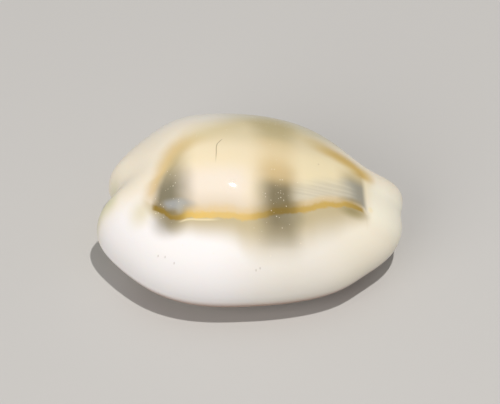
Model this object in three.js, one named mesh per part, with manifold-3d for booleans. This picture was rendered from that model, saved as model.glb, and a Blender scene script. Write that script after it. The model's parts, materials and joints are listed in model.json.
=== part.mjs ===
// A money cowrie shell resting on its base: a domed glossy back inside a thick rounded rim, and a flat-bottomed
// base with a toothed slit that opens into the hollow body.
// Millimetres, +Z up. +X is the front (anterior) end, -Y the outer-lip side and +Y the inner-lip side.
// The origin is the middle of the footprint, on the plane that the shell rests on.
import * as THREE from "three";
import { mergeVertices } from "three/addons/utils/BufferGeometryUtils.js";
import Module from "manifold-3d";

// The rim: a flattened round-edged body whose plan is four joined superellipse quarters about its widest place.
const RIM = {
  widestX: -1.2,
  frontReach: 13.55,
  backReach: 10.1,
  outerLipReach: 8.85,
  innerLipReach: 8.9,
  outerLipSquareness: { front: 2.4, back: 2.4 },
  innerLipSquareness: { front: 1.5, back: 2.6 },
  squarenessChangesOver: 2.5,
  edgeRoundness: 4,
  edgeHeight: 3.45, // where the rim is widest
  riseAboveEdge: 4.35,
  riseLostPerMm: 0.065, // the rim is thinner towards the front
  dropBelowEdge: 3.55, // a little more than the edge's height, so that the base is flat where the shell rests
};

// Swellings and pinches of the rim's plan: their bearing about the widest place (0 is the front end, 90 the inner-lip
// side), how far they push the edge out, and how many degrees wide they are.
const RIM_FEATURES = [
  { name: "front notch", bearing: 2, push: -0.4, width: 8 },
  { name: "front tip", bearing: 7.5, push: 1.1, width: 7 },
  { name: "pinch beside the front tip", bearing: 28.5, push: -1.35, width: 14 },
  { name: "outer-lip shoulder", bearing: -29.5, push: -0.4, width: 10.5 },
  { name: "back knob", bearing: 153, push: 0.35, width: 10 },
  { name: "back knob's crest", bearing: 161, push: 0.3, width: 6 },
  { name: "back notch", bearing: 173, push: -1.05, width: 8.5 },
  { name: "outer-lip lobe at the back", bearing: 185, push: 1.3, width: 19 },
];

// The domed back: an ellipsoid with its own reach on each side of its middle, and a lower swelling in front of it.
const DOME = {
  middle: new THREE.Vector3(-4.1, 1.35, 4.9),
  frontReach: 8.6,
  backReach: 5.15,
  outerLipReach: 6.25,
  innerLipReach: 6.6,
  top: 10.65,
  bottom: 1.2,
};
const FRONT_SWELL = {
  middle: new THREE.Vector3(2.45, 1.35, 5.55),
  reach: new THREE.Vector3(6.25, 5.55, 3.05),
};
const SWELL_BLEND = 4.0; // how far the dome flows into the swelling
const RIM_BLEND = 2.15; // and both into the rim

const DOME_WALL = 1.0; // the hollow follows the domed back at this depth

// The slit along the base, which opens into the hollow.
const SLIT = {
  offset: -0.35, // where the slit's centre line runs straightest, across the shell
  straightestX: 3,
  bend: 0.0102, // per mm: towards the inner lip at both ends, most at the back
  halfWidth: 0.85,
  endFlare: 0.35,
  flareFrom: 8.5,
  roof: 3.0,
  overrun: 1.5, // how far the cut runs past each end of the shell
};
const TEETH = { baseWidth: 0.85, tipWidth: 0.5, reach: 0.45 };
const LIPS = [
  { name: "outer lip", side: -1, teeth: 12, firstX: -8.9, lastX: 9.2 },
  { name: "inner lip", side: 1, teeth: 11, firstX: -8.1, lastX: 9.4 },
];
const GROOVE = { width: 0.7, length: 1.7, depth: 0.45, below: 0.6 };

const BODY_DETAIL = 15;
const HOLLOW_DETAIL = 6;
const RAY_START = new THREE.Vector3(0, 0, 4.5); // inside the shell, from where every surface point is sighted
const RAY_STRETCH = new THREE.Vector3(12.5, 9, 6);
const RAY_LIMIT = 16;
const BISECTIONS = 32;

const wasm = await Module();
wasm.setup();

/** The lesser of two distances, with a rounded change between them over a width of blend. */
function smoothMin(a, b, blend) {
  const h = Math.max(blend - Math.abs(a - b), 0) / blend;
  return Math.min(a, b) - (h * h * blend) / 4;
}

/** How far the rim's edge lies from the widest place, in the direction of (dx, dy). */
function rimReach(dx, dy) {
  const along = dx > 0 ? RIM.frontReach : RIM.backReach;
  const across = dy > 0 ? RIM.innerLipReach : RIM.outerLipReach;
  const frontShare = 1 / (1 + Math.exp(-dx / RIM.squarenessChangesOver));
  const squareness = dy > 0 ? RIM.innerLipSquareness : RIM.outerLipSquareness;
  const n = THREE.MathUtils.lerp(squareness.back, squareness.front, frontShare);
  const fraction = ((Math.abs(dx) / along) ** n + (Math.abs(dy) / across) ** n + 1e-12) ** (1 / n);
  let reach = Math.hypot(dx, dy) / fraction;
  const bearing = THREE.MathUtils.radToDeg(Math.atan2(dy, dx));
  for (const feature of RIM_FEATURES) {
    const turn = THREE.MathUtils.euclideanModulo(bearing - feature.bearing + 180, 360) - 180;
    reach += feature.push * Math.exp(-((turn / feature.width) ** 2));
  }
  return reach;
}

/** About how far a point is outside the rim's surface. */
function rimDistance(p) {
  const dx = p.x - RIM.widestX;
  const reach = rimReach(dx, p.y);
  const fraction = Math.hypot(dx, p.y) / reach;
  const dz = p.z - RIM.edgeHeight;
  const halfHeight = dz > 0 ? RIM.riseAboveEdge - RIM.riseLostPerMm * p.x : RIM.dropBelowEdge;
  const level = (dz / halfHeight) ** 2 + fraction ** RIM.edgeRoundness - 1;
  const slopeUp = (2 * dz) / halfHeight ** 2;
  const slopeOut = (RIM.edgeRoundness * fraction ** (RIM.edgeRoundness - 1)) / reach;
  return level / Math.max(Math.hypot(slopeUp, slopeOut), 0.08);
}

/** About how far outside an ellipsoid a point is that lies at out from its middle. */
function ellipsoidDistance(out, reach) {
  const share = out.clone().divide(reach);
  const length = share.length() + 1e-9;
  return (length * (length - 1)) / (share.divide(reach).length() + 1e-9);
}

/** About how far a point is outside the domed back. */
function backDistance(p) {
  const out = p.clone().sub(DOME.middle);
  const reach = new THREE.Vector3(
    out.x > 0 ? DOME.frontReach : DOME.backReach,
    out.y > 0 ? DOME.innerLipReach : DOME.outerLipReach,
    out.z > 0 ? DOME.top - DOME.middle.z : DOME.middle.z - DOME.bottom,
  );
  const swell = ellipsoidDistance(p.clone().sub(FRONT_SWELL.middle), FRONT_SWELL.reach);
  return smoothMin(ellipsoidDistance(out, reach), swell, SWELL_BLEND);
}

/** Negative inside the shell's outer form, and positive outside. */
const bodyDistance = (p) => smoothMin(rimDistance(p), backDistance(p), RIM_BLEND);

/** Negative in the rounded space that the animal lived in. */
const hollowDistance = (p) => backDistance(p) + DOME_WALL;

/** A solid from a geometry whose faces close on each other. */
function solidOf(geometry) {
  geometry.deleteAttribute("normal");
  geometry.deleteAttribute("uv");
  const merged = mergeVertices(geometry, 1e-4);
  return new wasm.Manifold(
    new wasm.Mesh({
      numProp: 3,
      vertProperties: merged.getAttribute("position").array,
      triVerts: new Uint32Array(merged.index.array),
    }),
  );
}

/** A form given by its distance: a ball of triangles, each corner moved along its ray to the form's surface. */
function sightedSolid(distance, detail) {
  const geometry = new THREE.IcosahedronGeometry(1, detail);
  const position = geometry.getAttribute("position");
  const ray = new THREE.Vector3();
  for (let i = 0; i < position.count; i++) {
    ray.fromBufferAttribute(position, i).multiply(RAY_STRETCH).normalize();
    let inside = 0;
    let outside = RAY_LIMIT;
    for (let step = 0; step < BISECTIONS; step++) {
      const middle = (inside + outside) / 2;
      if (distance(ray.clone().multiplyScalar(middle).add(RAY_START)) < 0) inside = middle;
      else outside = middle;
    }
    ray.multiplyScalar(inside).add(RAY_START);
    position.setXYZ(i, ray.x, ray.y, Math.max(ray.z, 0)); // the base is worn to a small flat at z = 0
  }
  return solidOf(geometry);
}

const slitCentre = (x) => SLIT.offset + SLIT.bend * (x - SLIT.straightestX) ** 2;

function slitHalfWidth(x) {
  const past = THREE.MathUtils.smoothstep(Math.abs(x), SLIT.flareFrom, RIM.frontReach);
  return SLIT.halfWidth + SLIT.endFlare * past;
}

const toothX = (lip, i) => THREE.MathUtils.lerp(lip.firstX, lip.lastX, i / (lip.teeth - 1));

/** One side of the slit from back to front, as points across the base, stepping in at each tooth. */
function lipLine(lip) {
  const at = (x, inward) => new THREE.Vector2(x, slitCentre(x) + lip.side * (slitHalfWidth(x) - inward));
  const backEnd = RIM.widestX - RIM.backReach - SLIT.overrun;
  const frontEnd = RIM.widestX + RIM.frontReach + SLIT.overrun;
  const line = [at(backEnd, 0), at((backEnd + lip.firstX) / 2, 0)];
  for (let i = 0; i < lip.teeth; i++) {
    const x = toothX(lip, i);
    line.push(at(x - TEETH.baseWidth / 2, 0), at(x - TEETH.tipWidth / 2, TEETH.reach));
    line.push(at(x + TEETH.tipWidth / 2, TEETH.reach), at(x + TEETH.baseWidth / 2, 0));
  }
  line.push(at((frontEnd + lip.lastX) / 2, 0), at(frontEnd, 0));
  return line;
}

/** The slit's space: its toothed outline, carried up from under the base to its roof. */
function slitSolid() {
  const [outer, inner] = LIPS.map(lipLine);
  const outline = new THREE.Shape([...outer, ...inner.reverse()]);
  const geometry = new THREE.ExtrudeGeometry(outline, { depth: SLIT.roof + 1, bevelEnabled: false });
  geometry.translate(0, 0, -1);
  return solidOf(geometry);
}

/** A furrow between two teeth, running out over the base and rising to nothing. */
function grooveSolid(lip, x) {
  const wedge = new THREE.Shape([
    new THREE.Vector2(0, -GROOVE.below),
    new THREE.Vector2(GROOVE.length, -GROOVE.below),
    new THREE.Vector2(GROOVE.length, -0.02),
    new THREE.Vector2(0, GROOVE.depth),
  ]);
  const geometry = new THREE.ExtrudeGeometry(wedge, { depth: GROOVE.width, bevelEnabled: false });
  geometry.translate(0, 0, -GROOVE.width / 2);
  geometry.rotateX(Math.PI / 2); // the wedge's height now points up
  geometry.rotateZ((lip.side * Math.PI) / 2); // and its length points away from the slit
  geometry.translate(x, slitCentre(x) + lip.side * (slitHalfWidth(x) - TEETH.reach / 2), 0);
  return solidOf(geometry);
}

function shellGeometry() {
  const hollow = sightedSolid(hollowDistance, HOLLOW_DETAIL);
  let shell = sightedSolid(bodyDistance, BODY_DETAIL).subtract(hollow).subtract(slitSolid());
  for (const lip of LIPS)
    for (let i = 0; i < lip.teeth - 1; i++)
      shell = shell.subtract(grooveSolid(lip, (toothX(lip, i) + toothX(lip, i + 1)) / 2));
  const mesh = shell.getMesh();
  const geometry = new THREE.BufferGeometry();
  geometry.setAttribute("position", new THREE.BufferAttribute(mesh.vertProperties, 3));
  geometry.setIndex(new THREE.BufferAttribute(mesh.triVerts, 1));
  geometry.computeBoundingBox();
  const middle = geometry.boundingBox.getCenter(new THREE.Vector3());
  geometry.translate(-middle.x, -middle.y, 0);
  geometry.computeVertexNormals();
  return geometry;
}

const enamel = new THREE.MeshStandardMaterial({ color: 0xefe6d2, roughness: 0.12, metalness: 0 });
const shell = new THREE.Mesh(shellGeometry(), enamel);
shell.name = "shell";

const cowrie = new THREE.Group();
cowrie.add(shell);
export default cowrie;
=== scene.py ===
# A money cowrie shell lying on its base on a plain pale floor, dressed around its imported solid.
# Lengths are in millimetres until the mesh is made: +X is the front end, +Y the inner-lip side, +Z up.
import json
import math

import bpy
import numpy as np
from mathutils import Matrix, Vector

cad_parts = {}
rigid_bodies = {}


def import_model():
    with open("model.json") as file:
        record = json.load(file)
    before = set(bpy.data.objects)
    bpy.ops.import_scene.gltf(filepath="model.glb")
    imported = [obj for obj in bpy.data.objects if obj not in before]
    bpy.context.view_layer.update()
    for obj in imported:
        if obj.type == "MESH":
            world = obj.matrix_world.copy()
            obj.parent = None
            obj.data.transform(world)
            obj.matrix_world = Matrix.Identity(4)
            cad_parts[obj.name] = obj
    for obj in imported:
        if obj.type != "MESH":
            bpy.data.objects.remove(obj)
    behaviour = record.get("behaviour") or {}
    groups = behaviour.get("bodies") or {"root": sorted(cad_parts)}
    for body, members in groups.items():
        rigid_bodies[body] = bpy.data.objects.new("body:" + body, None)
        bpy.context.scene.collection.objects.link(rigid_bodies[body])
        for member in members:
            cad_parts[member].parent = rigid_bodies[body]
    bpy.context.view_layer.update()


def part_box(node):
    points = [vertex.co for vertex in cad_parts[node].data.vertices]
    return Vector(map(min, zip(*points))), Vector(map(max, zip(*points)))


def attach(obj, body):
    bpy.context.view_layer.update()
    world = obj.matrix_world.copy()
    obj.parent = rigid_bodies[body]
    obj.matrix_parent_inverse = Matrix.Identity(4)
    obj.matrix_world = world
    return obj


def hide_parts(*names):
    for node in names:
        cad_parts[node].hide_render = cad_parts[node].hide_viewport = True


MM = 0.001

# The outer form, with the same values as the solid's source.
RIM = dict(
    widest_x=-1.2,
    front=13.55,
    back=10.1,
    outer_lip=8.85,
    inner_lip=8.9,
    outer_square=(2.4, 2.4),  # towards the back and towards the front
    inner_square=(2.6, 1.5),
    square_changes_over=2.5,
    roundness=4.0,
    edge_z=3.45,
    rise=4.35,
    rise_lost_per_mm=0.065,
    drop=3.55,
)
RIM_FEATURES = [  # bearing in degrees, push in mm, width in degrees
    ("front notch", 2, -0.4, 8),
    ("front tip", 7.5, 1.1, 7),
    ("pinch beside the front tip", 28.5, -1.35, 14),
    ("outer-lip shoulder", -29.5, -0.4, 10.5),
    ("back knob", 153, 0.35, 10),
    ("back knob's crest", 161, 0.3, 6),
    ("back notch", 173, -1.05, 8.5),
    ("outer-lip lobe at the back", 185, 1.3, 19),
]
DOME = dict(
    middle=(-4.1, 1.35, 4.9),
    front=8.6,
    back=5.15,
    outer_lip=6.25,
    inner_lip=6.6,
    top=10.65,
    bottom=1.2,
)
FRONT_SWELL = dict(middle=(2.45, 1.35, 5.55), reach=(6.25, 5.55, 3.05))
SWELL_BLEND = 4.0
RIM_BLEND = 2.15
DOME_WALL = 1.0

# The slit and its teeth.
SLIT = dict(
    offset=-0.35,
    straightest_x=3.0,
    bend=0.0102,
    half_width=0.85,
    end_flare=0.35,
    flare_from=8.5,
    roof=3.0,
)
SLIT_ARCH = 1.0
LIP_ROUNDING = 0.75
TOOTH_REACH = 0.5
LIPS = [  # name, side, number of teeth, and x of the first and the last tooth
    ("outer lip", -1, 12, -8.9, 9.2),
    ("inner lip", 1, 11, -8.1, 9.4),
]
TOOTH_SHARPNESS = 1.4
ROW_FADES = (0.3, 0.6)  # from the first and the last tooth, in steps between teeth
FURROW = dict(
    depth=0.32,
    ends_outside=(0.2, 2.1),  # from the lip
    ends_inside=(-2.0, -0.6),
    ends_above=(1.0, 2.2),
)
HOLLOW_BLEND = 0.4  # how far the slit flows into the hollow
BASE_SOFTNESS = 0.12
ENAMEL_INSET = 0.01

# The low step where the rim's enamel laps over the back, along both ends of the gold line and past its front.
CALLUS = dict(
    height=0.06,
    front_x=8.95,
    rises=(-0.05, 0.3),  # beside the line
    falls=(0.3, 1.6),
    back_half_ends=(-4.5, -2.5),
    front_share=0.25,
    front_begins=(3, 6),
    begins=(-8.3, -7.2),
    ends_across=(-0.6, 0.6),
    lowest=(5.2, 6.0),
)

# The gold line's near side, as seen from above: x and y in mm.
LINE = [
    (-8.6, -2.5),
    (-7.75, -3.25),
    (-7, -3.7),
    (-5.85, -4.45),
    (-5.1, -4.4),
    (-4.2, -4.5),
    (-1.7, -4.55),
    (-0.8, -4.7),
    (0.1, -4.65),
    (1.7, -4.2),
    (3.4, -3.9),
    (4.4, -3.65),
    (5.4, -3.2),
    (6.9, -2.85),
    (7.9, -2.65),
    (8.5, -2.7),
    (9, -3.1),
]

# The mesh of the form.
VOXEL = 0.15
GRID_MARGIN = 3  # in voxels
RELAXATIONS = 6
RELAXATION = 0.5  # how far a corner moves to the middle of its neighbours
PROJECTIONS = 3
LONGEST_MOVE = 0.5 * VOXEL
SLOPE_STEP = 0.02
LEAST_SQUARED_SLOPE = 0.04
LEAST_RIM_SLOPE = 0.08
FAR_INSIDE = -9.0


def smooth_min(a, b, blend):
    h = np.maximum(blend - np.abs(a - b), 0) / blend
    return np.minimum(a, b) - h * h * blend / 4


def smooth_max(a, b, blend):
    return -smooth_min(-a, -b, blend)


def smooth_step(v, low, high):
    t = np.clip((v - low) / (high - low), 0, 1)
    return t * t * (3 - 2 * t)


def rim_distance(x, y, z):
    """About how far a point is outside the rim's flattened body."""
    dx = x - RIM["widest_x"]
    along = np.where(dx > 0, RIM["front"], RIM["back"])
    across = np.where(y > 0, RIM["inner_lip"], RIM["outer_lip"])
    front_share = 1 / (1 + np.exp(-dx / RIM["square_changes_over"]))
    inner = RIM["inner_square"][0] + (RIM["inner_square"][1] - RIM["inner_square"][0]) * front_share
    outer = RIM["outer_square"][0] + (RIM["outer_square"][1] - RIM["outer_square"][0]) * front_share
    n = np.where(y > 0, inner, outer)
    out = np.hypot(dx, y) + 1e-9
    fraction = ((np.abs(dx) / along) ** n + (np.abs(y) / across) ** n + 1e-12) ** (1 / n)
    reach = out / fraction
    bearing = np.degrees(np.arctan2(y, dx))
    for _, middle, push, width in RIM_FEATURES:
        turn = (bearing - middle + 180) % 360 - 180
        reach = reach + push * np.exp(-((turn / width) ** 2))
    fraction = out / reach
    dz = z - RIM["edge_z"]
    half = np.where(dz > 0, RIM["rise"] - RIM["rise_lost_per_mm"] * x, RIM["drop"])
    level = (dz / half) ** 2 + fraction ** RIM["roundness"] - 1
    slope_up = 2 * dz / half**2
    slope_out = RIM["roundness"] * fraction ** (RIM["roundness"] - 1) / reach
    return level / np.maximum(np.hypot(slope_up, slope_out), LEAST_RIM_SLOPE)


def ellipsoid_distance(dx, dy, dz, reach_x, reach_y, reach_z):
    """About how far outside an ellipsoid a point is that lies at (dx, dy, dz) from its middle."""
    u, v, w = dx / reach_x, dy / reach_y, dz / reach_z
    length = np.sqrt(u * u + v * v + w * w) + 1e-9
    steepness = np.sqrt((u / reach_x) ** 2 + (v / reach_y) ** 2 + (w / reach_z) ** 2) + 1e-9
    return length * (length - 1) / steepness


def back_distance(x, y, z):
    """About how far a point is outside the domed back."""
    mx, my, mz = DOME["middle"]
    reach_x = np.where(x > mx, DOME["front"], DOME["back"])
    reach_y = np.where(y > my, DOME["inner_lip"], DOME["outer_lip"])
    reach_z = np.where(z > mz, DOME["top"] - mz, mz - DOME["bottom"])
    dome = ellipsoid_distance(x - mx, y - my, z - mz, reach_x, reach_y, reach_z)
    sx, sy, sz = FRONT_SWELL["middle"]
    swell = ellipsoid_distance(x - sx, y - sy, z - sz, *FRONT_SWELL["reach"])
    return smooth_min(dome, swell, SWELL_BLEND)


def slit_centre(x):
    return SLIT["offset"] + SLIT["bend"] * (x - SLIT["straightest_x"]) ** 2


def tooth_share(x, teeth, first, last):
    """1 on the crest of each tooth, 0 between teeth and past the ends of the row."""
    pitch = (last - first) / (teeth - 1)
    wave = 0.5 + 0.5 * np.cos(2 * math.pi * (x - first) / pitch)
    near, far = (share * pitch for share in ROW_FADES)
    row = smooth_step(x, first - far, first - near)
    row = row * (1 - smooth_step(x, last + near, last + far))
    return wave**TOOTH_SHARPNESS * row, row


def callus_share(x, y, z):
    """1 on the low step along the line's back half, less at its front, and 0 beside it."""
    line = np.interp(x, *zip(*LINE))
    beside = np.where(x < CALLUS["front_x"], line - y, x - CALLUS["front_x"])
    step = smooth_step(beside, *CALLUS["rises"]) * (1 - smooth_step(beside, *CALLUS["falls"]))
    along = 1 - smooth_step(x, *CALLUS["back_half_ends"])
    along = along + CALLUS["front_share"] * smooth_step(x, *CALLUS["front_begins"])
    ends = smooth_step(x, *CALLUS["begins"]) * (1 - smooth_step(y, *CALLUS["ends_across"]))
    return step * along * ends * smooth_step(z, *CALLUS["lowest"])


def shell_field(x, y, z):
    """Negative in the shell's wall and positive outside it, about a distance in mm near the surface."""
    body = smooth_min(rim_distance(x, y, z), back_distance(x, y, z), RIM_BLEND)
    body = body - CALLUS["height"] * callus_share(x, y, z)
    across = y - slit_centre(x)
    flare = smooth_step(np.abs(x), SLIT["flare_from"], RIM["front"])
    half_width = SLIT["half_width"] + SLIT["end_flare"] * flare
    gap = np.full(np.shape(x), FAR_INSIDE)
    for _, side, teeth, first, last in LIPS:
        tooth, row = tooth_share(x, teeth, first, last)
        from_lip = side * across - half_width
        gap = np.maximum(gap, from_lip + TOOTH_REACH * tooth)
        furrow = (1 - tooth) * row
        furrow = furrow * (1 - smooth_step(from_lip, *FURROW["ends_outside"]))
        furrow = furrow * smooth_step(from_lip, *FURROW["ends_inside"])
        furrow = furrow * (1 - smooth_step(z, *FURROW["ends_above"]))
        body = body + FURROW["depth"] * furrow
    slit = smooth_max(gap, z - SLIT["roof"], SLIT_ARCH)
    space = smooth_min(slit, back_distance(x, y, z) + DOME_WALL, HOLLOW_BLEND)
    body = smooth_max(body + ENAMEL_INSET, -z, BASE_SOFTNESS)
    return smooth_max(body, -space, LIP_ROUNDING)


def field_slope(points):
    """The field's gradient at each point."""
    slope = np.empty_like(points)
    for axis in range(3):
        step = np.zeros(3)
        step[axis] = SLOPE_STEP
        ahead = shell_field(*(points + step).T)
        behind = shell_field(*(points - step).T)
        slope[:, axis] = (ahead - behind) / (2 * SLOPE_STEP)
    return slope


def on_surface(points):
    """The points, moved along the field's slope onto the surface."""
    for _ in range(PROJECTIONS):
        slope = field_slope(points)
        steep = np.maximum((slope**2).sum(1), LEAST_SQUARED_SLOPE)
        shift = slope * (shell_field(*points.T) / steep)[:, None]
        points = points - np.clip(shift, -LONGEST_MOVE, LONGEST_MOVE)
    return points


def surface_net(low, high):
    """Corners and quads of the field's surface: one corner for each grid cell that the surface crosses."""
    counts = [int(math.ceil((b - a) / VOXEL)) + 1 for a, b in zip(low, high)]
    axes = [a + VOXEL * np.arange(n) for a, n in zip(low, counts)]
    slices = [np.meshgrid([x], axes[1], axes[2], indexing="ij") for x in axes[0]]
    values = np.stack([shell_field(*places)[0] for places in slices])
    inside = values < 0
    cells = np.full(values.shape, -1)
    total = np.zeros(values.shape + (3,))
    hits = np.zeros(values.shape)
    faces = []
    for axis in range(3):
        ahead = np.roll(inside, -1, axis)
        crossed = np.argwhere(inside != ahead)
        other = crossed.copy()
        other[:, axis] += 1
        start, end = values[tuple(crossed.T)], values[tuple(other.T)]
        point = crossed.astype(float)
        point[:, axis] += start / (start - end)
        side, up = (axis + 1) % 3, (axis + 2) % 3
        ring = []
        for du, dv in ((0, 0), (-1, 0), (-1, -1), (0, -1)):
            cell = crossed.copy()
            cell[:, side] += du
            cell[:, up] += dv
            np.add.at(total, tuple(cell.T), point)
            np.add.at(hits, tuple(cell.T), 1)
            ring.append(cell)
        faces.append((ring, inside[tuple(crossed.T)]))
    used = hits > 0
    cells[used] = np.arange(used.sum())
    corners = total[used] / hits[used][:, None] * VOXEL + np.array(low)
    quads = []
    for ring, outward in faces:
        quad = np.stack([cells[tuple(c.T)] for c in ring], 1)
        quads.append(np.where(outward[:, None], quad, quad[:, ::-1]))
    return corners, np.concatenate(quads)


def relaxed(corners, quads):
    """Evens out the quads without leaving the surface."""
    first = np.concatenate([quads[:, i] for i in range(4)])
    second = np.concatenate([quads[:, (i + 1) % 4] for i in range(4)])
    for _ in range(RELAXATIONS):
        total = np.zeros_like(corners)
        count = np.zeros(len(corners))
        for a, b in ((first, second), (second, first)):
            np.add.at(total, a, corners[b])
            np.add.at(count, a, 1)
        corners = on_surface(corners + RELAXATION * (total / count[:, None] - corners))
    return corners


def shell_object():
    low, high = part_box("shell")
    margin = GRID_MARGIN * VOXEL
    low = [c / MM - margin for c in low]
    high = [c / MM + margin for c in high]
    corners, quads = surface_net(low, high)
    corners = relaxed(on_surface(corners), quads)
    middle = (corners.min(0) + corners.max(0)) / 2
    corners[:, :2] -= middle[:2]
    mesh = bpy.data.meshes.new("cowrie")
    mesh.from_pydata((corners * MM).tolist(), [], quads.tolist())
    mesh.validate()
    mesh.polygons.foreach_set("use_smooth", [True] * len(mesh.polygons))
    mesh.update()
    shell = bpy.data.objects.new("cowrie", mesh)
    bpy.context.scene.collection.objects.link(shell)
    return shell


# The edge of the back beyond the line: bearing in degrees and radius in mm about its middle, with the shell's
# length drawn at half scale.
EDGE_MIDDLE = (0.7, -0.3)
EDGE_SQUEEZE = 0.5
EDGE = [
    (7, 4.2),
    (15, 4.15),
    (25, 3.95),
    (40, 3.85),
    (56, 4.15),
    (67, 4.3),
    (88, 4.6),
    (104, 4.1),
    (122, 3.65),
    (143, 3.45),
    (179, 3.7),
    (192, 4.15),
    (212, 5.1),
    (219, 5.6),
    (230, 6),
    (316, 6),
    (325, 5.05),
    (332, 4.65),
    (342, 4.35),
]

# How far or how strongly each marking shows: place along it, and reach in mm or share.
STAIN_REACH = [
    (-9, 0.1),
    (-7.5, 1.2),
    (-4.3, 1.8),
    (-2, 2.2),
    (0, 3.3),
    (2, 3.6),
    (5, 3.3),
    (7.2, 2.5),
    (8.8, 1.5),
    (10, 0.5),
]
HAZE_REACH = [
    (0, 0.45),
    (22, 0.65),
    (47, 0.9),
    (72, 1.15),
    (108, 1.3),
    (144, 0.95),
    (180, 0.65),
    (209, 0.5),
    (230, 0.35),
    (360, 0.35),
]
BACK_BAND_SHARE = [
    (-4.5, 1),
    (-2.4, 1),
    (-1.5, 0.88),
    (-0.5, 0.68),
    (1.5, 0.36),
    (2.6, 0.12),
    (3.5, 0),
]
MIDDLE_BAND_SHARE = [
    (-8, 0),
    (-7.2, 0.12),
    (-6.6, 0.38),
    (-5.4, 0.8),
    (-4.6, 1),
    (-3, 1),
    (-1.4, 0.64),
    (0.5, 0.4),
    (1.5, 0.42),
    (2.5, 0.62),
    (3.8, 0.72),
    (4.8, 0.6),
    (6.5, 0.15),
]
LINE_TONE = [
    (-9, 0.2),
    (-6.8, 0.15),
    (-5, 0.85),
    (-4, 1),
    (-1, 0.95),
    (0, 0.7),
    (1, 0.3),
    (2, 0.05),
    (3, 0.15),
    (4.3, 0.62),
    (6.5, 0.68),
    (8.7, 0.35),
    (10, 0.5),
]
HAIR_MARK = [  # y and x
    (-1.0, -2.82),
    (0, -2.72),
    (0.8, -2.66),
    (1.2, -2.45),
    (1.6, -2.1),
]
DARK_PITS = [  # x and y
    (-7.51, -6.64),
    (-6.97, -6.87),
    (-6.28, -7.36),
    (0.04, -8.2),
    (0.36, -8.1),
    (5.4, 0.32),
]

# Layers of paint, in the order in which they are laid. A spot has its middle, its reach, its turn in degrees
# and its firm share. A fade names a place and says where the layer shows nothing and where it shows fully,
# and with four numbers also where it is last full and where it is gone again.
BACK_BEGINS = (4.4, 5.4)  # the heights between which the bare rim ends
RIM_WHITE = "f8f5f5"
RIM_LAYERS = [
    dict(tint="ede8de", x=(-4.0, 3.0)),  # the front half
    dict(tint="f5edda", x=(4.0, 9.5)),  # the front end
    dict(tint="f6ecd8", y=(-3.6, -0.6)),  # beyond the line
    dict(tint="f2ece0", y=(3.2, 5.6), x=(-9.8, -7.4)),  # the far side, except at the back end
    dict(tint="d4cdb0", y=(2.4, 4.8), x=(-4.0, 1.0, 8.4, 9.8)),  # the far side's front half
    dict(tint="fbf5e2", x=(8.8, 9.8), y=(-4.5, -3.0, -0.2, 1.2)),  # the front tip
    dict(tint="dcdab4", strength=0.8, y=(-2.6, -1.0, 1.5, 3.2), x=(-10.3, -11.3)),  # painted shade in the back notch's hollow
    dict(tint="d8d3c2", strength=0.7, spot=((11.2, 2.0), (1.9, 1.0), -20)),  # beside the front tip
    dict(tint="e9d199", strength=0.6, spot=((9.3, 0.7), (1.0, 1.5))),  # in front of the back's edge
    dict(tint="dfd6b2", strength=0.7, spot=((-8.7, -3.3), (1.6, 1.6))),  # behind the line's back end
    dict(tint="f3ebe0", z=(2.0, 0.6)),  # the base
]
# Painted shade: a brownish band low down on the rim, strongest on the near side.
LOW_PAINTED_SHADE = dict(tint="a98a78", z=(0.2, 1.2, 1.9, 3.1))
LOW_PAINTED_SHADE_GROWS = (-3.0, -5.5)  # over these y
LOW_PAINTED_SHADE_STRENGTHS = (0.25, 0.9)  # on the far side and on the near side
STAIN = dict(tint="c7b892", run=(1.12, 0.15), below=(-0.4, 0.0), x=(-8.8, -7.6, 8.4, 9.6))
BACK_CREAM = "f2e3c2"
BACK_LAYERS = [
    dict(tint="f2e4be", x=(1.5, 5.0)),  # the front half
    dict(tint="e5d7b2", y=(0.4, 2.4)),  # olive towards the inner lip
    dict(tint="f2e6d6", y=(-0.3, -2.2), x=(1.0, -1.5)),  # the near side's back half
    dict(tint="dbcbb0", strength=0.8, above=(1.9, 0.1)),  # beside the line
]
BACK_PLACE = dict(soft_inset=(-0.5, 0.4), above=(-0.05, 0.2))
HAZE_GOLD = "cfab4c"
HAZE_MIDDLE = dict(tint="dfd0a3", turn=(30, 70, 125, 165))
HAZE_PLACE = dict(turn=(3, 12, 200, 214), off=(1.2, 0.0))
HAZE_GROWS = (70, 35)  # over these bearings
HAZE_STRENGTHS = (0.58, 0.83)  # along the far edge and at the front end
BACK_BAND_SHADE = "878069"
BACK_BAND_LAYERS = [dict(tint="a99b6e", y=(-2.6, 0.6))]
BACK_BAND_PLACE = dict(soft_inset=(-0.1, 0.5), soft_x=(-4.1, -6.5), above=(-0.02, 0.15))
BACK_BAND_SPOTS = [
    dict(tint="a9abab", strength=0.85, spot=((-6.0, -3.58), (2.1, 0.6), -12, 0.2), above=(0.0, 0.25)),
    dict(tint="b4b3ab", strength=0.9, spot=((-5.65, -3.85), (0.55, 0.8), 0, 0.1), above=(-0.05, 0.1)),
    dict(tint="8b8167", strength=0.8, spot=((-6.6, -4.55), (1.9, 1.6), -22, 0.1), below=(-0.05, 0.15)),
]
MIDDLE_BAND_SHADE = "807557"
MIDDLE_BAND_LAYERS = [
    dict(tint="bca26b", y=(-2.7, -1.3)),
    dict(tint="d8be80", y=(-1.4, 0.2)),
    dict(tint="b9aa7a", y=(1.2, 2.8)),
]
MIDDLE_BAND_PLACE = dict(soft_x=(-0.5, 1.8, 2.5, 4.3))
MIDDLE_BAND_SPOTS = [
    dict(tint="c6b889", strength=0.7, spot=((2.0, 4.3), (3.1, 1.9), -8)),
    dict(tint="d9ba7a", strength=0.35, spot=((1.9, -0.9), (2.0, 1.6))),
    dict(tint="a39a7e", strength=0.45, spot=((3.2, -4.6), (1.8, 1.2), 10), below=(0.0, 0.2)),
]
FRONT_BAND_SHADE = "9b988b"
FRONT_BAND_LAYERS = [dict(tint="b09d6c", y=(-0.9, 0.4))]
FRONT_BAND_STRENGTH = 0.95
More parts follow.
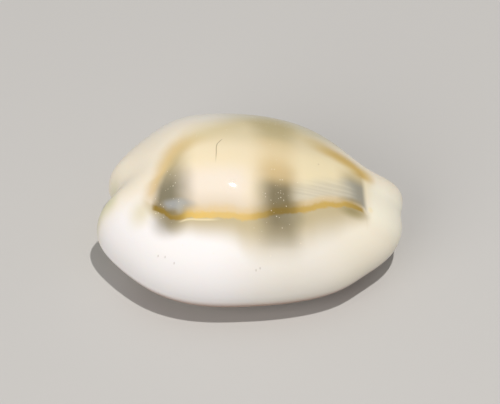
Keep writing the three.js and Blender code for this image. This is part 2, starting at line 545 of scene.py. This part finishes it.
FRONT_BAND_PLACE = dict(soft_x=(6.5, 8.2), x=(9.25, 8.75), above=(0.0, 0.5), y=(1.3, -0.9))
FRONT_BAND_SPOTS = [
    dict(tint="9d9064", strength=0.85, spot=((7.9, -3.2), (1.6, 0.8), -4), below=(-0.05, 0.1)),
]
STREAK_STRETCH = (0.2, 4.5, 0.0)
STREAK_SHADE = "c9c4b2"
STREAK_PALE = dict(tint="d6d1bf", streaks=(0.35, 0.65))
STREAK_PLACE = dict(strength=0.65, x=(2.6, 4.0, 7.6, 8.6), above=(0.35, 0.8, 1.3, 2.6))
LINE_DARK = "7a620c"
LINE_PALE = "e8c46c"
LINE_ENDS = (-8.0, -7.6, 8.6, 8.9)
LINE_BLUR = dict(strength=0.5, ragged=(-0.45, -0.15, 0.05, 0.9))
LINE_CORE = dict(ragged=(-0.38, -0.2, 0.0, 0.28))
LINE_STRENGTH = 0.92
LINE_FADING = 0.35  # what the core loses where it is worn
LINE_WORN = (-4.2, -2.6, -0.8, 0.4)
LINE_RAGGEDNESS = 0.4
LINE_GLINT = dict(
    tint="f8eac0",
    strength=0.6,
    above=(-0.52, -0.44, -0.4, -0.3),
    x=(-6.0, -5.3, -3.6, -2.4),
)
FRONT_GLINT = dict(tint="f8eac0", strength=0.6, spot=((9.4, -2.6), (0.3, 0.4), 0, 0.2))
HAIR = dict(tint="8f7c58", strength=0.6, hair=(0.06, 0.015), y=(-1.0, 0.2, 1.4, 1.6), z=(8.0, 9.0))
PIT = dict(tint="8d7562", strength=0.3, z=(4.0, 5.0))
PIT_REACH = (0.09, 0.09)
PIT_FIRM = 0.3
DUST = dict(tint="f7eed8", z=(5.6, 6.6))
DUST_STRENGTH = 0.6
DUSTY_SPOTS = [
    ((2.4, 4.4), (4.2, 2.2), -8),
    ((2.0, -3.2), (1.6, 4.0)),
    ((-6.4, -3.0), (2.2, 3.0)),
]
DUST_CELLS_PER_MM = 5.0
DUST_RADIUS = 0.2  # of a cell
DUST_SHARES = (0.012, 0.162)  # of the cells, elsewhere and in the dusty spots
WANDER_X = 0.6
WANDER_EDGE = 0.3


def colour(hexadecimal):
    """A linear colour from its usual six digits."""
    parts = [int(hexadecimal[i : i + 2], 16) / 255 for i in (0, 2, 4)]
    linear = [c / 12.92 if c <= 0.04045 else ((c + 0.055) / 1.055) ** 2.4 for c in parts]
    return (*linear, 1.0)


class Painter:
    """Short names for the nodes that a material is painted with. Coordinates are in mm."""

    def __init__(self, tree):
        self.tree = tree
        place = self.node("ShaderNodeTexCoord").outputs["Object"]
        self.mm = self.node("ShaderNodeVectorMath", {0: place, "Scale": 1 / MM}, operation="SCALE").outputs[0]
        split = self.node("ShaderNodeSeparateXYZ", {0: self.mm})
        self.x, self.y, self.z = split.outputs
        self.at = {"x": self.x, "y": self.y, "z": self.z}

    def node(self, kind, inputs=None, **settings):
        made = self.tree.nodes.new(kind)
        for name, value in settings.items():
            setattr(made, name, value)
        for name, value in (inputs or {}).items():
            if isinstance(value, bpy.types.NodeSocket):
                self.tree.links.new(value, made.inputs[name])
            else:
                made.inputs[name].default_value = value
        return made

    def sum(self, operation, *values):
        return self.node("ShaderNodeMath", dict(enumerate(values)), operation=operation).outputs[0]

    def product(self, *values):
        result = values[0]
        for value in values[1:]:
            result = self.sum("MULTIPLY", result, value)
        return result

    def ease(self, value, low, high):
        """0 at low, 1 at high, smooth between; low may be above high."""
        if low > high:
            return self.sum("SUBTRACT", 1.0, self.ease(value, high, low))
        inputs = {"Value": value, "From Min": low, "From Max": high}
        return self.node("ShaderNodeMapRange", inputs, interpolation_type="SMOOTHSTEP").outputs[0]

    def hump(self, value, low, full_from, full_to, high):
        """0 up to low, 1 from full_from to full_to, 0 again past high."""
        return self.product(self.ease(value, low, full_from), self.ease(value, high, full_to))

    def between(self, share, low, high):
        """Low where the share is 0 and high where it is 1."""
        return self.sum("MULTIPLY_ADD", share, high - low, low)

    def noise(self, scale, stretch=(1, 1, 1), detail=2.0, roughness=0.5):
        """Noise from about 0 to 1, with scale features in each mm."""
        place = self.node("ShaderNodeVectorMath", {0: self.mm, 1: stretch}, operation="MULTIPLY").outputs[0]
        inputs = {"Vector": place, "Scale": scale, "Detail": detail, "Roughness": roughness}
        return self.node("ShaderNodeTexNoise", inputs).outputs["Fac"]

    def wander(self, value, noise, reach):
        """The value, moved to and fro by up to about half of reach."""
        return self.sum("MULTIPLY_ADD", self.sum("SUBTRACT", noise, 0.5), reach, value)

    def curve(self, value, points):
        """A smooth curve through points whose coordinates run from 0 to 1."""
        made = self.node("ShaderNodeFloatCurve", {"Value": value})
        line = made.mapping.curves[0]
        line.points[0].location = points[0]
        line.points[1].location = points[-1]
        for point in points[1:-1]:
            line.points.new(*point)
        made.mapping.update()
        return made.outputs[0]

    def grains(self, scale, radius, amount):
        """Small round grains, seen from above, in some of the cells of a net with scale cells in each mm."""
        inputs = {"Vector": self.mm, "Scale": scale}
        cells = self.node("ShaderNodeTexVoronoi", inputs, voronoi_dimensions="2D")
        lots = self.node("ShaderNodeSeparateColor", {0: cells.outputs["Color"]}).outputs
        chosen = self.sum("LESS_THAN", lots[0], amount)
        away = self.sum("DIVIDE", cells.outputs["Distance"], self.sum("ADD", lots[1], 0.4))
        return self.product(chosen, self.ease(away, radius, 0.5 * radius))

    def over(self, under, paint, share):
        """Paint laid over another colour, by share."""
        inputs = {"Factor": share, "A": under, "B": paint}
        made = self.tree.nodes.new("ShaderNodeMix")
        made.data_type = "RGBA"
        for name, value in inputs.items():
            socket = next(s for s in made.inputs if s.name == name and s.enabled)
            if isinstance(value, bpy.types.NodeSocket):
                self.tree.links.new(value, socket)
            else:
                socket.default_value = value
        return next(s for s in made.outputs if s.enabled)

    def profile(self, value, points):
        """The height over value of a smooth line through points of real size."""
        low, high = points[0][0], points[-1][0]
        bottom, top = min(p[1] for p in points), max(p[1] for p in points)
        inputs = {"Value": value, "From Min": low, "From Max": high}
        along = self.node("ShaderNodeMapRange", inputs).outputs[0]
        shares = [((a - low) / (high - low), (b - bottom) / (top - bottom)) for a, b in points]
        line = self.curve(along, shares)
        return self.sum("MULTIPLY_ADD", line, top - bottom, bottom)

    def spot(self, middle, reach, degrees=0.0, firm=0.0):
        """1 in the middle of an oval spot, seen from above, and 0 at its edge."""
        c, s = math.cos(math.radians(degrees)), math.sin(math.radians(degrees))
        dx = self.sum("SUBTRACT", self.x, middle[0])
        dy = self.sum("SUBTRACT", self.y, middle[1])
        u = self.sum("MULTIPLY_ADD", dx, c / reach[0], self.product(dy, s / reach[0]))
        v = self.sum("MULTIPLY_ADD", dx, -s / reach[1], self.product(dy, c / reach[1]))
        away = self.sum("SQRT", self.sum("MULTIPLY_ADD", u, u, self.product(v, v)))
        return self.ease(away, 1.0, firm)

    def lay(self, under, tint, strength=1.0, within=None, spot=None, **fades):
        """A tint laid over what is under it, wherever the spot and all the fades let it show."""
        share = strength if within is None else self.product(within, strength)
        if spot:
            share = self.product(share, self.spot(*spot))
        for place, limits in fades.items():
            fade = self.ease if len(limits) == 2 else self.hump
            share = self.product(share, fade(self.at[place], *limits))
        return self.over(under, colour(tint) if isinstance(tint, str) else tint, share)

    def lay_all(self, under, layers, within=None):
        """All the layers, each laid over the last."""
        for layer in layers:
            under = self.lay(under, within=within, **layer)
        return under


def above_line(paint):
    """How far a point is towards the inner lip from the gold line, seen from above, in mm."""
    return paint.sum("SUBTRACT", paint.y, paint.profile(paint.x, LINE))


def edge_inset(paint):
    """How far a point is inside the edge of the back, and its bearing in degrees."""
    u = paint.product(paint.sum("SUBTRACT", paint.x, EDGE_MIDDLE[0]), EDGE_SQUEEZE)
    v = paint.sum("SUBTRACT", paint.y, EDGE_MIDDLE[1])
    turns = paint.sum("DIVIDE", paint.sum("ARCTAN2", v, u), 2 * math.pi)
    turn = paint.product(paint.sum("FRACT", turns), 360.0)
    radius = paint.sum("SQRT", paint.sum("ADD", paint.product(u, u), paint.product(v, v)))
    start, end = EDGE[0], EDGE[-1]
    seam = end[1] + (start[1] - end[1]) * (360 - end[0]) / (360 + start[0] - end[0])
    edge = paint.profile(turn, [(0, seam), *EDGE, (360, seam)])
    return paint.sum("SUBTRACT", edge, radius), turn


def find_places(paint):
    """Adds the places that the marks follow to the painter's own, some of them wandering a little."""
    broad = paint.noise(0.45)
    cloud = paint.noise(1.6, detail=3.0)
    above = above_line(paint)
    inset, turn = edge_inset(paint)
    paint.at["above"] = above
    paint.at["below"] = paint.product(above, -1.0)
    paint.at["turn"] = turn
    paint.at["soft_x"] = paint.wander(paint.x, broad, WANDER_X)
    paint.at["soft_inset"] = paint.wander(inset, broad, WANDER_EDGE)
    paint.at["ragged"] = paint.wander(above, cloud, LINE_RAGGEDNESS)


def paint_rim(paint):
    """The bare rim: white, creamier towards the inner lip and the front, with a brownish band of painted
    shade low down.
    """
    tint = paint.lay_all(colour(RIM_WHITE), RIM_LAYERS)
    # The painted shade low down on the rim is stronger towards the near side.
    strength = paint.between(paint.ease(paint.y, *LOW_PAINTED_SHADE_GROWS), *LOW_PAINTED_SHADE_STRENGTHS)
    return paint.lay(tint, strength=strength, **LOW_PAINTED_SHADE)


def paint_stain(paint, tint, upper):
    """The beige stain that runs out below the gold line."""
    reach = paint.profile(paint.x, STAIN_REACH)
    paint.at["run"] = paint.sum("DIVIDE", paint.at["below"], reach)
    return paint.lay(tint, within=upper, **STAIN)


def paint_back(paint, tint, upper):
    """The back: cream, paler near the line, olive towards the inner lip."""
    panel = paint.lay_all(colour(BACK_CREAM), BACK_LAYERS)
    return paint.lay(tint, panel, within=upper, **BACK_PLACE)


def paint_haze(paint, tint, upper):
    """A broad golden haze along the back's far edge, narrower and warmer at both ends."""
    reach = paint.profile(paint.at["turn"], HAZE_REACH)
    paint.at["off"] = paint.sum("DIVIDE", paint.sum("ABSOLUTE", paint.at["soft_inset"]), reach)
    gold = paint.lay(colour(HAZE_GOLD), **HAZE_MIDDLE)
    strength = paint.between(paint.ease(paint.at["turn"], *HAZE_GROWS), *HAZE_STRENGTHS)
    return paint.lay(tint, gold, strength, upper, **HAZE_PLACE)


def paint_back_band(paint, tint, upper):
    """The band at the back end, which follows the edge's inner side and fades towards the inner lip."""
    shade = paint.lay_all(colour(BACK_BAND_SHADE), BACK_BAND_LAYERS)
    tint = paint.lay(tint, shade, paint.profile(paint.y, BACK_BAND_SHARE), upper, **BACK_BAND_PLACE)
    return paint.lay_all(tint, BACK_BAND_SPOTS, upper)


def paint_middle_band(paint, tint, upper):
    """The band across the middle: grey-brown below, warm tan above, olive beyond the crest."""
    shade = paint.lay_all(colour(MIDDLE_BAND_SHADE), MIDDLE_BAND_LAYERS)
    tint = paint.lay(tint, shade, paint.profile(paint.y, MIDDLE_BAND_SHARE), upper, **MIDDLE_BAND_PLACE)
    return paint.lay_all(tint, MIDDLE_BAND_SPOTS, upper)


def paint_front_band(paint, tint, upper):
    """The band at the front end, which is blue-grey and ends sharply."""
    shade = paint.lay_all(colour(FRONT_BAND_SHADE), FRONT_BAND_LAYERS)
    tint = paint.lay(tint, shade, FRONT_BAND_STRENGTH, upper, **FRONT_BAND_PLACE)
    return paint.lay_all(tint, FRONT_BAND_SPOTS, upper)


def paint_streaks(paint, tint, upper):
    """Pale blue-grey growth streaks above the line in front of the middle band."""
    paint.at["streaks"] = paint.noise(1.0, STREAK_STRETCH, 1.0)
    shade = paint.lay(colour(STREAK_SHADE), **STREAK_PALE)
    return paint.lay(tint, shade, within=upper, **STREAK_PLACE)


def paint_line(paint, tint, upper):
    """The gold line, with a golden blur on its upper side and a glint below it at the back."""
    thread = paint.over(colour(LINE_DARK), colour(LINE_PALE), paint.profile(paint.x, LINE_TONE))
    ends = paint.product(upper, paint.hump(paint.x, *LINE_ENDS))
    tint = paint.lay(tint, thread, within=ends, **LINE_BLUR)
    worn = paint.product(LINE_FADING, paint.hump(paint.x, *LINE_WORN))
    tint = paint.lay(tint, thread, paint.sum("SUBTRACT", LINE_STRENGTH, worn), ends, **LINE_CORE)
    tint = paint.lay(tint, within=ends, **LINE_GLINT)
    return paint.lay(tint, within=upper, **FRONT_GLINT)


def paint_specks(paint, tint):
    """A hair-fine mark, small dark pits and pale grains of dust."""
    course = paint.profile(paint.y, HAIR_MARK)
    paint.at["hair"] = paint.sum("ABSOLUTE", paint.sum("SUBTRACT", paint.x, course))
    tint = paint.lay(tint, **HAIR)
    for middle in DARK_PITS:
        tint = paint.lay(tint, spot=(middle, PIT_REACH, 0, PIT_FIRM), **PIT)
    dusty = paint.spot(*DUSTY_SPOTS[0])
    for spot in DUSTY_SPOTS[1:]:
        dusty = paint.sum("MAXIMUM", dusty, paint.spot(*spot))
    grain = paint.grains(DUST_CELLS_PER_MM, DUST_RADIUS, paint.between(dusty, *DUST_SHARES))
    return paint.lay(tint, strength=DUST_STRENGTH, within=grain, **DUST)


def paint_enamel(paint):
    """The colour of the enamel, from the bare rim up to the specks on the back."""
    find_places(paint)
    upper = paint.ease(paint.z, *BACK_BEGINS)
    tint = paint_rim(paint)
    marks = (
        paint_stain,
        paint_back,
        paint_haze,
        paint_back_band,
        paint_middle_band,
        paint_front_band,
        paint_streaks,
        paint_line,
    )
    for mark in marks:
        tint = mark(paint, tint, upper)
    return paint_specks(paint, tint)


GLOSS = {
    "Roughness": 0.55,
    "Specular IOR Level": 0.25,
    "Coat Weight": 0.6,
    "Coat Roughness": 0.03,
    "Subsurface Weight": 0.2,
    "Subsurface Radius": (1.0, 0.8, 0.6),
    "Subsurface Scale": 1.0 * MM,
}
WAVES_PER_MM = 0.9
WAVE_STRENGTH = 0.02
WAVE_DEPTH = 0.2 * MM


def enamel_material():
    """Glossy, very faintly wavy enamel that lets a little light in below its surface."""
    material = bpy.data.materials.new("shell_enamel")
    material.use_nodes = True
    tree = material.node_tree
    shader = tree.nodes["Principled BSDF"]
    paint = Painter(tree)
    tree.links.new(paint_enamel(paint), shader.inputs["Base Color"])
    for name, value in GLOSS.items():
        shader.inputs[name].default_value = value
    waves = paint.noise(WAVES_PER_MM, detail=1.0)
    inputs = {"Strength": WAVE_STRENGTH, "Distance": WAVE_DEPTH, "Height": waves}
    bump = paint.node("ShaderNodeBump", inputs)
    tree.links.new(bump.outputs[0], shader.inputs["Normal"])
    return material


# The view: the shell seen from its outer-lip side, from above.
AIM = Vector((0, 0, 4.0)) * MM
AZIMUTH = math.radians(-2.58)
ELEVATION = math.radians(46.0)
DISTANCE = 160 * MM
PIXELS_PER_MM = 12.35
FRAME_WIDTH = 500
FRAME_HEIGHT = 404
AIM_PIXEL = (250.8, 210.2)
SENSOR_WIDTH = 36
NEAREST = 10 * MM
FARTHEST = 20_000 * MM

# The studio: a pale floor, a small lamp high over the near side, a broad soft one and an even pale surround.
FLOOR_SIZE = 6000 * MM
FLOOR_COLOUR = "c9c8c6"
FLOOR_ROUGHNESS = 0.8
LAMP_COLOUR = "fffbf6"
KEY_HEIGHT = math.radians(80.2)
KEY_LEAN = math.radians(9.0)
KEY = dict(distance=400 * MM, size=10 * MM, watts=0.95)
FILL_DIRECTION = (-0.6, -0.6, 0.47)
FILL = dict(distance=700 * MM, size=600 * MM, watts=2.0, in_reflections=False)
SURROUND_COLOUR = "e6e6e8"
SURROUND_STRENGTH = 0.34


def camera():
    data = bpy.data.cameras.new("camera")
    made = bpy.data.objects.new("camera", data)
    bpy.context.scene.collection.objects.link(made)
    level = Vector((math.sin(AZIMUTH), -math.cos(AZIMUTH), 0))
    back = level * math.cos(ELEVATION) + Vector((0, 0, math.sin(ELEVATION)))
    right = Vector((math.cos(AZIMUTH), math.sin(AZIMUTH), 0))
    up = back.cross(right)
    made.location = AIM + back * DISTANCE
    off_x = (FRAME_WIDTH / 2 - AIM_PIXEL[0]) / PIXELS_PER_MM * MM
    off_y = (AIM_PIXEL[1] - FRAME_HEIGHT / 2) / PIXELS_PER_MM * MM
    centre = AIM + right * off_x + up * off_y
    made.rotation_euler = (made.location - centre).to_track_quat("Z", "Y").to_euler()
    data.sensor_width = SENSOR_WIDTH
    data.lens = SENSOR_WIDTH * PIXELS_PER_MM * (DISTANCE / MM) / FRAME_WIDTH
    data.clip_start = NEAREST
    data.clip_end = FARTHEST
    bpy.context.scene.camera = made


def floor():
    mesh = bpy.data.meshes.new("floor")
    half = FLOOR_SIZE / 2
    corners = [(-half, -half, 0), (half, -half, 0), (half, half, 0), (-half, half, 0)]
    mesh.from_pydata(corners, [], [(0, 1, 2, 3)])
    made = bpy.data.objects.new("floor", mesh)
    bpy.context.scene.collection.objects.link(made)
    material = bpy.data.materials.new("floor")
    material.use_nodes = True
    shader = material.node_tree.nodes["Principled BSDF"]
    shader.inputs["Base Color"].default_value = colour(FLOOR_COLOUR)
    shader.inputs["Roughness"].default_value = FLOOR_ROUGHNESS
    mesh.materials.append(material)


def area_light(name, direction, distance, size, watts, in_reflections=True):
    data = bpy.data.lights.new(name, "AREA")
    data.shape = "DISK"
    data.size = size
    data.energy = watts
    data.color = colour(LAMP_COLOUR)[:3]
    made = bpy.data.objects.new(name, data)
    bpy.context.scene.collection.objects.link(made)
    made.location = AIM + Vector(direction).normalized() * distance
    made.rotation_euler = Vector(direction).to_track_quat("Z", "Y").to_euler()
    made.visible_glossy = in_reflections


def lights():
    upright = Vector((0, -math.cos(KEY_HEIGHT), math.sin(KEY_HEIGHT)))
    key_direction = upright * math.cos(KEY_LEAN) + Vector((math.sin(KEY_LEAN), 0, 0))
    area_light("key", key_direction, **KEY)
    area_light("fill", FILL_DIRECTION, **FILL)
    world = bpy.data.worlds.new("studio")
    world.use_nodes = True
    background = world.node_tree.nodes["Background"]
    background.inputs["Color"].default_value = colour(SURROUND_COLOUR)
    background.inputs["Strength"].default_value = SURROUND_STRENGTH
    bpy.context.scene.world = world
    bpy.context.scene.view_settings.view_transform = "Standard"


for thing in list(bpy.data.objects):
    bpy.data.objects.remove(thing)
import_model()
camera()
floor()
lights()
cowrie = shell_object()
cowrie.data.materials.append(enamel_material())
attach(cowrie, "root")
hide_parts("shell")
